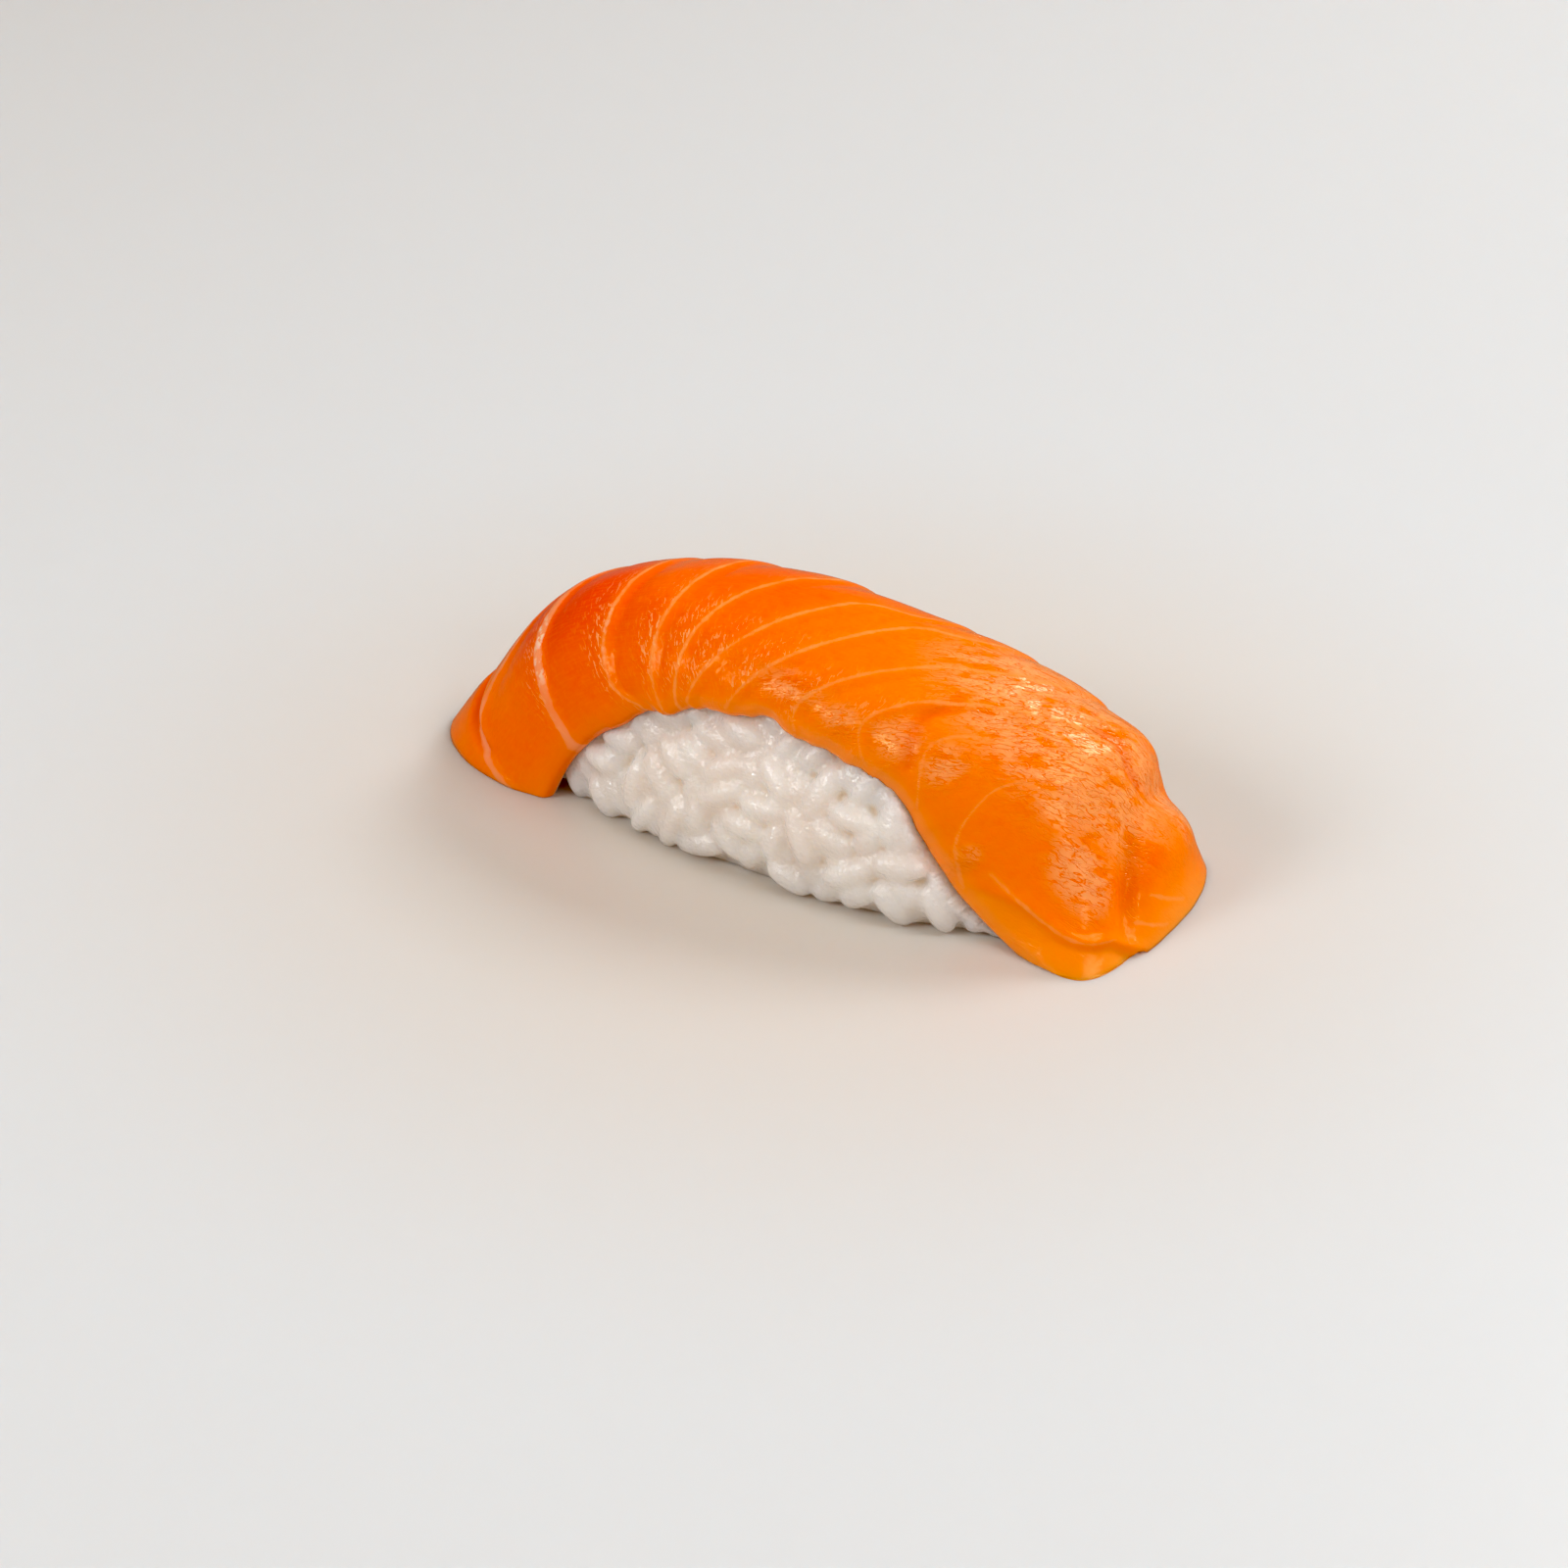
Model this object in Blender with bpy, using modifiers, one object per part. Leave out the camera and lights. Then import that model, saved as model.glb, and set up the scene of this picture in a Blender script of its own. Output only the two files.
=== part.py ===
"""Salmon nigiri: one slice of raw salmon draped over a hand-pressed bed of rice.

Metres, +Z up. The long side runs along X, the side where the rice shows most faces -Y,
and the origin is the middle of the footprint, on the surface the nigiri rests on.
"""
import math

import bpy
from mathutils import Vector, noise

MM = 0.001
COLLECTION_NAME = "salmon_nigiri"
TOUCHING_GAP = 0.3 * MM

# The slice. Three guide curves run from its left tip to its right end, in millimetres:
# the spine along the top, and the hems where the slice ends at the front and at the back.
# They end a little under the plate, which then cuts both ends off flat.
SPINE = [
    (-42.1, -2.7, -1.2), (-35.2, -1.8, 8.6), (-27.8, -0.7, 17.4), (-16.0, 0.0, 22.0), (-3.2, 0.3, 23.5),
    (10.5, 0.2, 22.2), (22.3, 0.2, 19.8), (31.2, 0.0, 15.5), (38.0, -0.4, 7.4), (41.8, -0.6, -1.2),
]
FRONT_HEM = [
    (-23.3, -13.4, -1.2), (-20.4, -12.2, 5.2), (-15.2, -11.8, 10.3), (-8.4, -11.6, 14.0), (-0.3, -11.4, 15.9),
    (8.7, -11.4, 15.0), (16.5, -11.6, 12.0), (21.4, -12.1, 6.4), (28.4, -13.4, 1.3), (40.2, -15.6, -1.2),
]
BACK_HEM = [
    (-34.6, 9.4, -1.2), (-29.4, 11.6, 3.3), (-23.7, 12.4, 7.0), (-14.6, 13.6, 11.0), (-2.7, 13.4, 12.4),
    (9.3, 13.3, 12.2), (20.3, 13.5, 10.7), (29.3, 13.1, 6.9), (34.7, 11.6, 2.2), (37.6, 11.8, -1.2),
]
FLAKE_RELIEF = 0.5 * MM   # how far the edges of the flakes stand above the guide curves
SLICE_THICKNESS = 4.8 * MM
HEM_THICKNESS = 1.9 * MM
HEM_ROUNDING = 0.6 * MM
HEM_ROUNDING_SEGMENTS = 2
SHARP_EDGE = math.radians(50)
THINNING = 0.7         # how late the slice thins out on its way to a hem: lower is later
SLICE_CELLS = (44, 20)

# A soft valley in the slice where its right end turns down to the plate. Both ends are
# places on the slice: the share of its length, and -1 to 1 from the front to the back hem.
CREASE_TOP = (0.84, 0.02)
CREASE_FOOT = (0.98, -0.42)
CREASE_HALF_WIDTH = 2.4 * MM
CREASE_DEPTH = 1.2 * MM

# The rice. A rounded loaf with a flat base, as uneven as the grains it is pressed from.
RICE_MIDDLE = (2.0 * MM, 0.0)
RICE_LENGTH = 64.0 * MM
RICE_WIDTH = 31.6 * MM
RICE_HEIGHT = 20.5 * MM
RICE_TAPER = 0.12
PLAN_SQUARENESS = 2.6
PROFILE_SQUARENESS = 2.2
RICE_RINGS = 44
RICE_SEGMENTS = 60
GRAIN_LENGTH = 6.0 * MM
GRAIN_WIDTH = 3.0 * MM
GRAIN_RELIEF = 2.0 * MM
EVEN_DISTANCE = 0.45   # this far from a grain's middle, in grain widths, the loaf is left as it is
HOLLOW_CELLS = (34, 16)
HOLLOW_RAISED = 2.0 * MM

FLOOR_BLOCK = 160 * MM
NORMAL_STEP = 0.002    # share of the slice over which its slope is measured

SALMON_COLOUR = (0.90, 0.16, 0.01, 1.0)
RICE_COLOUR = (0.78, 0.72, 0.64, 1.0)


def clear_scene():
    for thing in list(bpy.data.objects):
        bpy.data.objects.remove(thing, do_unlink=True)


def make_material(name, colour, roughness):
    material = bpy.data.materials.new(name)
    material.use_nodes = True
    shader = material.node_tree.nodes["Principled BSDF"]
    shader.inputs["Base Color"].default_value = colour
    shader.inputs["Roughness"].default_value = roughness
    shader.inputs["Metallic"].default_value = 0.0
    return material


def put_in_collection(thing, collection):
    for old in list(thing.users_collection):
        old.objects.unlink(thing)
    collection.objects.link(thing)


def point_along(stations, along):
    """A smooth curve through evenly spaced stations; along runs from 0 to 1."""
    last = len(stations) - 1
    index = min(max(int(along * last), 0), last - 1)
    t = along * last - index
    p1 = Vector(stations[index])
    p2 = Vector(stations[index + 1])
    p0 = Vector(stations[index - 1]) if index > 0 else 2 * p1 - p2
    p3 = Vector(stations[index + 2]) if index + 2 <= last else 2 * p2 - p1
    curve = (2 * p1 + (p2 - p0) * t + (2 * p0 - 5 * p1 + 4 * p2 - p3) * t ** 2
             + (3 * p1 - p0 - 3 * p2 + p3) * t ** 3)
    return curve / 2 * MM


def smooth_slice_point(along, across):
    """The slice's upper surface: across is -1 at the front hem, 0 at the spine, 1 at the back."""
    spine = point_along(SPINE, along)
    hem = point_along(FRONT_HEM if across < 0.0 else BACK_HEM, along)
    turn = abs(across) * math.pi / 2
    sideways = Vector((0.0, hem.y - spine.y, 0.0))
    downwards = hem - spine - sideways
    return spine + sideways * math.sin(turn) + downwards * (1.0 - math.cos(turn))


def slice_normal(along, across):
    """Outward direction of the slice's upper surface."""
    further = smooth_slice_point(along + NORMAL_STEP, across)
    lengthwise = further - smooth_slice_point(along - NORMAL_STEP, across)
    nudge = NORMAL_STEP if across < 0.0 else -NORMAL_STEP
    crosswise = smooth_slice_point(along, across + nudge) - smooth_slice_point(along, across)
    if nudge < 0.0:
        crosswise = -crosswise
    return lengthwise.cross(crosswise).normalized()


def crease_depth(point):
    """Depth of the valley at a point of the slice: deepest halfway down, nothing at both ends."""
    top = smooth_slice_point(*CREASE_TOP)
    line = smooth_slice_point(*CREASE_FOOT) - top
    share = (point - top).dot(line) / line.length_squared
    if not 0.0 < share < 1.0:
        return 0.0
    distance = (point - top - line * share).length
    return CREASE_DEPTH * math.sin(math.pi * share) * math.exp(-(distance / CREASE_HALF_WIDTH) ** 2)


def slice_point(along, across):
    point = smooth_slice_point(along, across)
    return point - slice_normal(along, across) * crease_depth(point)


def make_draped_sheet(name, cells, extra_thickness, raised):
    """A grid laid over the loft and thickened inwards, thinner towards both hems."""
    bpy.ops.mesh.primitive_grid_add(x_subdivisions=cells[0], y_subdivisions=cells[1], size=2.0)
    sheet = bpy.context.active_object
    sheet.name = name
    sheet.data.name = name
    group = sheet.vertex_groups.new(name="thick")
    for vertex in sheet.data.vertices:
        along = 0.5 + 0.5 * vertex.co.x
        across = vertex.co.y
        group.add([vertex.index], math.cos(across * math.pi / 2) ** THINNING, "REPLACE")
        vertex.co = slice_point(along, across) + slice_normal(along, across) * raised
    solidify = sheet.modifiers.new("thickness", "SOLIDIFY")
    solidify.thickness = SLICE_THICKNESS + extra_thickness + raised
    solidify.offset = -1.0
    solidify.vertex_group = group.name
    solidify.thickness_vertex_group = (HEM_THICKNESS + extra_thickness + raised) / solidify.thickness
    return sheet


def subtract(target, cutter):
    boolean = target.modifiers.new("cut by " + cutter.name, "BOOLEAN")
    boolean.operation = "DIFFERENCE"
    boolean.object = cutter


def make_floor_cutter(collection):
    bpy.ops.mesh.primitive_cube_add(size=FLOOR_BLOCK, location=(0.0, 0.0, -FLOOR_BLOCK / 2))
    floor = bpy.context.active_object
    floor.name = "floor_cutter"
    hide_cutter(floor, collection)
    return floor


def hide_cutter(thing, collection):
    thing.hide_render = True
    thing.display_type = "WIRE"
    put_in_collection(thing, collection)


def make_salmon_slice(collection, floor):
    salmon = make_draped_sheet("salmon_slice", SLICE_CELLS, 0.0, FLAKE_RELIEF)
    bevel = salmon.modifiers.new("rounded hem", "BEVEL")
    bevel.width = HEM_ROUNDING
    bevel.segments = HEM_ROUNDING_SEGMENTS
    bevel.limit_method = "ANGLE"
    bevel.angle_limit = SHARP_EDGE
    subtract(salmon, floor)
    salmon.data.materials.append(make_material("raw_salmon", SALMON_COLOUR, 0.35))
    salmon.data.shade_smooth()
    put_in_collection(salmon, collection)


def loaf_point(direction):
    """Push a point of the unit ball out to a squarish loaf, a little wider at its right end."""
    plan = abs(direction.x) ** PLAN_SQUARENESS + abs(direction.y) ** PLAN_SQUARENESS
    profile = plan ** (PROFILE_SQUARENESS / PLAN_SQUARENESS) + abs(direction.z) ** PROFILE_SQUARENESS
    reach = profile ** (-1.0 / PROFILE_SQUARENESS)
    width = RICE_WIDTH * (1.0 + RICE_TAPER * direction.x * reach)
    return Vector((direction.x * RICE_LENGTH / 2, direction.y * width / 2, direction.z * RICE_HEIGHT)) * reach


def grain_relief(point):
    """Bumps the size and shape of grains lying roughly along the loaf."""
    cell = Vector((point.x / GRAIN_LENGTH, point.y / GRAIN_WIDTH, point.z / GRAIN_WIDTH))
    distance_to_grain = noise.voronoi(cell)[0][0]
    return GRAIN_RELIEF * (EVEN_DISTANCE - distance_to_grain)


def make_rice_bed(collection, cutters, floor):
    bpy.ops.mesh.primitive_uv_sphere_add(segments=RICE_SEGMENTS, ring_count=RICE_RINGS, radius=1.0,
                                         rotation=(0.0, math.pi / 2, 0.0))
    rice = bpy.context.active_object
    bpy.ops.object.transform_apply(rotation=True)
    rice.name = "rice_bed"
    rice.data.name = "rice_bed"
    middle = Vector((RICE_MIDDLE[0], RICE_MIDDLE[1], 0.0))
    for vertex in rice.data.vertices:
        direction = vertex.co.normalized()
        point = loaf_point(direction)
        point += direction * grain_relief(point)
        vertex.co = point + middle
    hollow = make_draped_sheet("slice_cutter", HOLLOW_CELLS, TOUCHING_GAP, HOLLOW_RAISED)
    hide_cutter(hollow, cutters)
    subtract(rice, hollow)
    subtract(rice, floor)
    rice.data.materials.append(make_material("sushi_rice", RICE_COLOUR, 0.45))
    rice.data.shade_smooth()
    put_in_collection(rice, collection)


def make_nigiri():
    clear_scene()
    collection = bpy.data.collections.new(COLLECTION_NAME)
    cutters = bpy.data.collections.new("cutters")
    bpy.context.scene.collection.children.link(collection)
    bpy.context.scene.collection.children.link(cutters)
    floor = make_floor_cutter(cutters)
    make_salmon_slice(collection, floor)
    make_rice_bed(collection, cutters, floor)


make_nigiri()
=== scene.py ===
import math

import bmesh
import bpy
import numpy as np
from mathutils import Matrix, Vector, noise
from mathutils.bvhtree import BVHTree


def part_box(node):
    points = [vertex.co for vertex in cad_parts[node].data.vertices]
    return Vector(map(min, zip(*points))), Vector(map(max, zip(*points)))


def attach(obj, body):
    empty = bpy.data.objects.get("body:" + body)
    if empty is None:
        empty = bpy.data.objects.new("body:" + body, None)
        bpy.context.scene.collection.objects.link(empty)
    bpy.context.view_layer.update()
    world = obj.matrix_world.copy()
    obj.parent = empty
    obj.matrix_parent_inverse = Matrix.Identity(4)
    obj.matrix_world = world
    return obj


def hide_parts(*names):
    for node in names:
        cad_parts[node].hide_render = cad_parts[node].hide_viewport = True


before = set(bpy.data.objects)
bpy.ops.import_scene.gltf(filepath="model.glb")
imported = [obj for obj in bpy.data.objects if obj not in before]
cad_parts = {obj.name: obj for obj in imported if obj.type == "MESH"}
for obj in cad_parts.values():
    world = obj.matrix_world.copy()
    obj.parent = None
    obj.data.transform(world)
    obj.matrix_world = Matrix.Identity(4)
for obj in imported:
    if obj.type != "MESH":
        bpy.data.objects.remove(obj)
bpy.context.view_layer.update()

MM = 0.001

# The salmon slice. Three guide curves run from its left tip to its right end, in
# millimetres in the frame: the spine along the top, and the hems at the front and the back.
SPINE = [
    (-42.1, -2.7, -1.2), (-35.2, -1.8, 8.6), (-27.8, -0.7, 17.4), (-16.0, 0.0, 22.0), (-3.2, 0.3, 23.5),
    (10.5, 0.2, 22.2), (22.3, 0.2, 19.8), (31.2, 0.0, 15.5), (38.0, -0.4, 7.4), (41.8, -0.6, -1.2),
]
FRONT_HEM = [
    (-23.3, -13.4, -1.2), (-20.4, -12.2, 5.2), (-15.2, -11.8, 10.3), (-8.4, -11.6, 14.0), (-0.3, -11.4, 15.9),
    (8.7, -11.4, 15.0), (16.5, -11.6, 12.0), (21.4, -12.1, 6.4), (28.4, -13.4, 1.3), (40.2, -15.6, -1.2),
]
BACK_HEM = [
    (-34.6, 9.4, -1.2), (-29.4, 11.6, 3.3), (-23.7, 12.4, 7.0), (-14.6, 13.6, 11.0), (-2.7, 13.4, 12.4),
    (9.3, 13.3, 12.2), (20.3, 13.5, 10.7), (29.3, 13.1, 6.9), (34.7, 11.6, 2.2), (37.6, 11.8, -1.2),
]
SLICE_LENGTH = 112.0   # along the spine, in millimetres
HALF_WIDTH = 17.0      # from the spine to a hem, in millimetres
MIDDLE_THICKNESS = 4.8 * MM
HEM_THICKNESS = (1.3 * MM, 2.2 * MM)   # over the rice, and at the right end
HEM_EDGE = 0.945       # how far across the upper skin runs before the hem rounds over
FLOOR_ROUNDING = 0.25 * MM
LOW_RINGS = 4
LOW_RING_RISE = 0.03 * MM
BASE_HEIGHT = 0.02 * MM   # faces lower than this lie on the floor

RINGS = 400
SKIN_POINTS = 131
UNDERSIDE_POINTS = 40
HEM_POINTS = 7

# The valley where the right end turns down, as on the frame's slice: (along, across) places.
CREASE_TOP = (0.84, 0.02)
CREASE_FOOT = (0.98, -0.42)
CREASE_HALF_WIDTH = 1.6 * MM
CREASE_DEPTH = 1.5 * MM

# Fat lines between the flakes. Each has its width in millimetres and the places it passes,
# as (share of the length from the left tip, -1 at the front hem to 1 at the back hem).
FLAKE_LINES = [
    (0.7, [(0.000, -0.95), (0.030, -0.70), (0.046, -0.58), (0.062, -0.45), (0.104, -0.29), (0.150, -0.18), (0.22, 0.2), (0.26, 1.0)]),
    (1.1, [(0.120, -1.0), (0.145, -0.90), (0.175, -0.63), (0.196, -0.38), (0.221, -0.12), (0.25, 0.3), (0.28, 1.0)]),
    (0.42, [(0.290, -1.0), (0.270, -0.85), (0.275, -0.65), (0.290, -0.38), (0.304, -0.05), (0.31, 0.3), (0.33, 1.0)]),
    (0.36, [(0.322, -1.0), (0.328, -0.80), (0.347, -0.50), (0.362, -0.22), (0.373, 0.05), (0.38, 0.3), (0.41, 1.0)]),
    (0.32, [(0.338, -1.0), (0.362, -0.78), (0.390, -0.46), (0.418, -0.16), (0.445, 0.12), (0.463, 0.3), (0.50, 1.0)]),
    (0.30, [(0.350, -1.0), (0.390, -0.78), (0.440, -0.46), (0.478, -0.15), (0.510, 0.12), (0.56, 0.3), (0.60, 1.0)]),
    (0.28, [(0.410, -1.0), (0.450, -0.76), (0.492, -0.44), (0.528, -0.15), (0.560, 0.10), (0.62, 0.3), (0.67, 1.0)]),
    (0.25, [(0.515, -1.0), (0.510, -0.78), (0.540, -0.49), (0.592, -0.18), (0.650, 0.05), (0.70, 0.3), (0.75, 1.0)]),
    (0.25, [(0.620, -1.0), (0.582, -0.72), (0.604, -0.45), (0.655, -0.24), (0.725, 0.00), (0.78, 0.3), (0.83, 1.0)]),
]
SHORT_LINES = [
    (0.25, [(0.700, -0.92), (0.672, -0.78), (0.654, -0.62), (0.662, -0.48), (0.690, -0.36)]),
    (0.25, [(0.820, -0.94), (0.765, -0.82), (0.743, -0.60), (0.752, -0.43), (0.785, -0.34)]),
    (0.3, [(0.820, -0.78), (0.870, -0.73), (0.917, -0.66), (0.938, -0.57), (0.950, -0.40)]),
    (0.3, [(0.930, -0.12), (0.950, 0.00), (0.965, 0.13)]),
    (0.3, [(0.948, -0.24), (0.962, -0.16), (0.974, -0.06)]),
]
FLAKE_STEP = 0.42 * MM
FLAKE_DROP = 0.9        # in millimetres, from a flake's edge down to the next flake
FLAKE_BULGE = 0.20 * MM
LUMPS = ((9.0 * MM, 0.24 * MM), (3.2 * MM, 0.06 * MM), (1.3 * MM, 0.012 * MM))   # size and height
CRACK_SLANT = math.radians(24)   # from the slice's length towards its back hem
HEM_RAGGED = 1.5 * MM
RAGGED_HEIGHTS = (7.0 * MM, 12.0 * MM)   # the hem is even below and ragged above

# Furrows pressed into the skin: depth and half width, then the places they pass.
FURROWS = [
    (0.55 * MM, 0.7 * MM, [(0.160, 0.20), (0.125, 0.02), (0.100, -0.08), (0.078, -0.24), (0.058, -0.42), (0.045, -0.60)]),
    (0.30 * MM, 0.6 * MM, [(0.762, 0.13), (0.787, 0.16), (0.812, 0.12), (0.833, 0.15)]),
    (0.25 * MM, 0.9 * MM, [(0.640, -0.30), (0.628, -0.45), (0.632, -0.60), (0.650, -0.75)]),
]
# Bulges and waists: centre along and across, reach along and across, height.
SWELLINGS = [
    (0.795, 0.30, 0.035, 0.35, 0.9 * MM), (0.850, 0.38, 0.018, 0.30, -1.0 * MM), (0.900, 0.35, 0.030, 0.35, 0.6 * MM),
    (0.100, 0.10, 0.030, 0.50, -0.5 * MM), (0.640, -0.70, 0.020, 0.25, 0.3 * MM),
]

# The cut end face shows below this edge at the right end's front corner.
END_EDGE = [(0.790, -1.00), (0.845, -0.80), (0.880, -0.71), (0.917, -0.66), (0.938, -0.57), (0.950, -0.42), (0.975, -0.30)]
END_RECESS = 0.55 * MM

# Rice. Cooked grains lie on a smaller core, crowd without crossing, and stick together.
PLAN_SQUARENESS = 2.6
PROFILE_SQUARENESS = 2.2
RICE_TAPER = 0.12
LOAF_HEIGHT = 20.5 * MM
GRAIN_LENGTH = 5.9 * MM
GRAIN_WIDTH = 2.7 * MM
GRAIN_LAYERS = (1.0 * MM, 1.2 * MM, 1.5 * MM, 1.9 * MM)   # how deep the grains' middles lie, layer by layer
GRAIN_CROWDING = (0.80, 0.64, 0.52, 0.44)             # how near two grains' middles may lie, in grain widths
GRAIN_SHORTEST = (0.85, 0.70, 0.55, 0.45)            # shortest grain of each layer, as a share of the length
GRAIN_TRIES = 5000
GRAIN_SEED = 11
GRAINS_INSIDE = 0.62 * MM   # how far the grains' loaf lies within the frame's rice bed
CORE_SHRINK = 2.3 * MM
STICKING = 0.3 * MM       # the size of the finest detail left where grains have stuck together
HOLLOW_FILL = 0.42        # share of each hollow between grains that starch fills
SLICE_CLEARANCE = 0.10 * MM
PRESSED_SMOOTHING = 6
HEART_REACH = (-24.0 * MM, 28.0 * MM)   # the line in the middle of the rice from which it is pressed
HEART_HEIGHT = 3.0 * MM                 # back under the slice
COVERED_HALF_WIDTH = 8.0 * MM   # nearer the middle than this, and above this height, no rice shows
COVERED_HEIGHT = 9.0 * MM

# The view and the light.
VIEW_AZIMUTH = 32.0
VIEW_ELEVATION = 30.3
VIEW_LENS = 85.0
VIEW_DISTANCE = 377.8 * MM
VIEW_AIM = (-4.7 * MM, 2.4 * MM, 0.0)
WINDOW_DISTANCE = 0.9
# Painted bounce and shade on the floor reach this far from the food.
FLOOR_BOUNCE_REACH = 100.0 * MM   # the floor is a little warmer in tone nearer to the food than this
WINDOW_COLOUR = (0.98, 1.0, 1.01)
ROOM_COLOUR = (1.0, 0.72, 0.48, 1)
ROOM_BRIGHTNESS = 0.36
BLACK_POINT = 0.022


# ---------------------------------------------------------------- nodes in plain calls

def add_node(tree, kind, inputs=None, **settings):
    """Add a node; inputs maps socket names or numbers to links or constants."""
    made = tree.nodes.new(kind)
    for name, value in settings.items():
        setattr(made, name, value)
    for key, value in (inputs or {}).items():
        connect(tree, value, made.inputs[key])
    return made


def connect(tree, value, socket):
    if isinstance(value, bpy.types.NodeSocket):
        tree.links.new(value, socket)
    else:
        socket.default_value = value


def math_node(tree, operation, first, second=0.0, clamp=False):
    return add_node(tree, "ShaderNodeMath", {0: first, 1: second}, operation=operation, use_clamp=clamp).outputs[0]


def times(tree, first, second):
    return math_node(tree, "MULTIPLY", first, second)


def plus(tree, first, second):
    return math_node(tree, "ADD", first, second)


def mix_colours(tree, amount, first, second, blend="MIX"):
    inputs = {0: amount, 6: first, 7: second}
    return add_node(tree, "ShaderNodeMix", inputs, data_type="RGBA", blend_type=blend).outputs[2]


def smooth_range(tree, value, start, end, low=0.0, high=1.0):
    """Value taken smoothly from start..end to low..high; either pair may run downwards."""
    inputs = {0: value, 1: start, 2: end, 3: low, 4: high}
    return add_node(tree, "ShaderNodeMapRange", inputs, interpolation_type="SMOOTHSTEP").outputs[0]


def noise_value(tree, vector, scale, detail=2.0, roughness=0.5, distortion=0.0):
    inputs = {"Vector": vector, "Scale": scale, "Detail": detail, "Roughness": roughness, "Distortion": distortion}
    return add_node(tree, "ShaderNodeTexNoise", inputs).outputs[0]


def worm_value(tree, vector, scale, distortion):
    """Narrow winding furrows: 0 along them, rising to 1 between them."""
    wave = noise_value(tree, vector, scale, 1.0, 0.5, distortion)
    away = math_node(tree, "ABSOLUTE", math_node(tree, "SUBTRACT", wave, 0.5))
    return smooth_range(tree, away, 0.0, 0.05)


def new_material(name):
    material = bpy.data.materials.new(name)
    material.use_nodes = True
    tree = material.node_tree
    return material, tree, tree.nodes["Principled BSDF"]


def attribute_value(tree, name):
    return add_node(tree, "ShaderNodeAttribute", attribute_name=name).outputs["Fac"]


# ---------------------------------------------------------------- the salmon's form

def along_guide(stations, along):
    """A smooth curve through evenly spaced stations, at each share of the slice's length."""
    keys = np.array(stations) * MM
    last = len(keys) - 1
    index = np.clip((along * last).astype(int), 0, last - 1)
    t = (along * last - index)[..., None]
    p1 = keys[index]
    p2 = keys[index + 1]
    p0 = np.where((index > 0)[..., None], keys[index - 1], 2 * p1 - p2)
    p3 = np.where((index + 2 <= last)[..., None], keys[np.minimum(index + 2, last)], 2 * p2 - p1)
    return 0.5 * (2 * p1 + (p2 - p0) * t + (2 * p0 - 5 * p1 + 4 * p2 - p3) * t ** 2
                  + (3 * p1 - p0 - 3 * p2 + p3) * t ** 3)


def smooth_skin(along, across):
    """The upper skin without its relief, at matching arrays of along and across."""
    spine = along_guide(SPINE, along)
    front = along_guide(FRONT_HEM, along)
    back = along_guide(BACK_HEM, along)
    hem = np.where((across < 0.0)[..., None], front, back)
    turn = (np.abs(across) * math.pi / 2)[..., None]
    sideways = (hem - spine) * np.array((0.0, 1.0, 0.0))
    downwards = (hem - spine) - sideways
    return spine + sideways * np.sin(turn) + downwards * (1.0 - np.cos(turn))


def unit(vectors):
    return vectors / np.linalg.norm(vectors, axis=-1, keepdims=True)


def skin_directions(along, across):
    """Outward normal and the direction towards the back hem at each place of the skin."""
    step = 0.002
    low = np.clip(along - step, 0.0, 1.0)
    high = np.clip(along + step, 0.0, 1.0)
    lengthwise = smooth_skin(high, across) - smooth_skin(low, across)
    inner = np.where(across < 0.0, across + step, across - step)
    crosswise = smooth_skin(along, inner) - smooth_skin(along, across)
    crosswise = np.where((across < 0.0)[..., None], crosswise, -crosswise)
    normal = unit(np.cross(lengthwise, crosswise))
    return normal, unit(crosswise)


def smooth_step(value, start, end):
    share = np.clip((value - start) / (end - start), 0.0, 1.0)
    return share * share * (3.0 - 2.0 * share)


def thickness(along, across):
    thin, thick = HEM_THICKNESS
    hem = thin + (thick - thin) * smooth_step(along, 0.62, 0.80)
    fullness = np.cos(across * math.pi / 2) ** 0.7
    return hem + (MIDDLE_THICKNESS - hem) * fullness


def loop_layout():
    """One turn around the slice: skin, back hem, underside, front hem. Each point has its
    place across, its share of the way from the skin to the underside, and its hem angle."""
    skin = np.linspace(-HEM_EDGE, HEM_EDGE, SKIN_POINTS)
    under = np.linspace(HEM_EDGE, -HEM_EDGE, UNDERSIDE_POINTS)
    angles = np.linspace(0.0, math.pi, HEM_POINTS + 2)[1:-1]
    across = np.concatenate([skin, np.full(HEM_POINTS, HEM_EDGE), under, np.full(HEM_POINTS, -HEM_EDGE)])
    angle = np.concatenate([np.zeros(SKIN_POINTS), angles, np.full(UNDERSIDE_POINTS, math.pi), angles[::-1]])
    return across, angle


def slab_points(along, across, angle):
    """Points on the slab's surface and their outward directions."""
    skin = smooth_skin(along, across)
    normal, crosswise = skin_directions(along, across)
    outwards = crosswise * np.sign(across)[..., None]
    half = (thickness(along, across) / 2)[..., None]
    away = normal * np.cos(angle)[..., None] + outwards * np.sin(angle)[..., None]
    return skin - normal * half + away * half, away


def columns_above_floor(across, angle):
    """For each point of the loop, the shares of the length at its rings, so that the
    first and the last ring lie exactly on the floor."""
    fine = np.linspace(0.0, 1.0, 801)
    shares = np.empty((RINGS, len(across)))
    for column, (place, turn) in enumerate(zip(across, angle)):
        points, _ = slab_points(fine, np.full_like(fine, place), np.full_like(fine, turn))
        height = points[:, 2]
        middle = len(fine) // 2
        first = middle - np.argmax(height[middle::-1] < 0.0)
        last = middle + np.argmax(height[middle:] < 0.0)
        start = np.interp(0.0, height[first:first + 2], fine[first:first + 2])
        end = np.interp(0.0, height[[last, last - 1]], fine[[last, last - 1]])
        shares[:, column] = np.linspace(start, end, RINGS)
    return shares


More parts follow.
